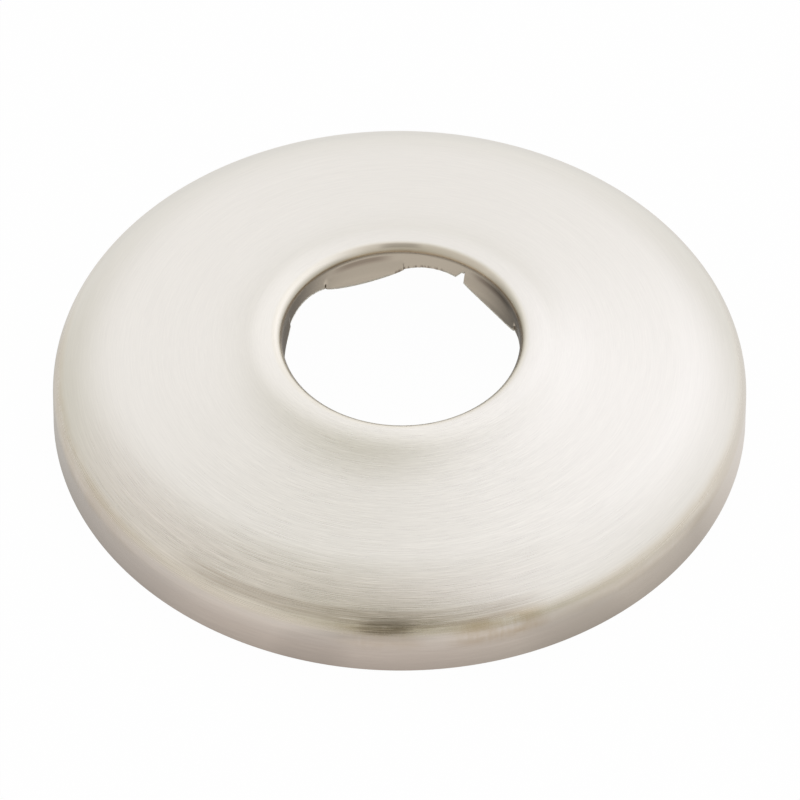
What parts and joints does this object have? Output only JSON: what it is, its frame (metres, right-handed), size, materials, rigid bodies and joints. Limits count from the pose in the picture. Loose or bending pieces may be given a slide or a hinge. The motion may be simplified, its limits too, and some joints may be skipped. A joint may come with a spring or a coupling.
{
  "type": "pipe escutcheon",
  "caption": "Round pressed-sheet escutcheon with a straight skirt, a sloping face and a raised lip; fingers in its collar grip a pipe while the skirt covers the hole in the wall.",
  "frame": {"origin": "centre of the rim, in the plane of the wall that the skirt stands on", "axes": "+Z along the pipe, away from the wall; the first grip finger lies 37.5 degrees from +X towards +Y"},
  "size_m": [0.0636, 0.0636, 0.0105],
  "materials": {
    "brushed_nickel": "nickel plate, brushed round the axis, with brown stains along the edge bend"
  },
  "bodies": {
    "root": {"escutcheon": "brushed_nickel"}
  },
  "joints": []
}
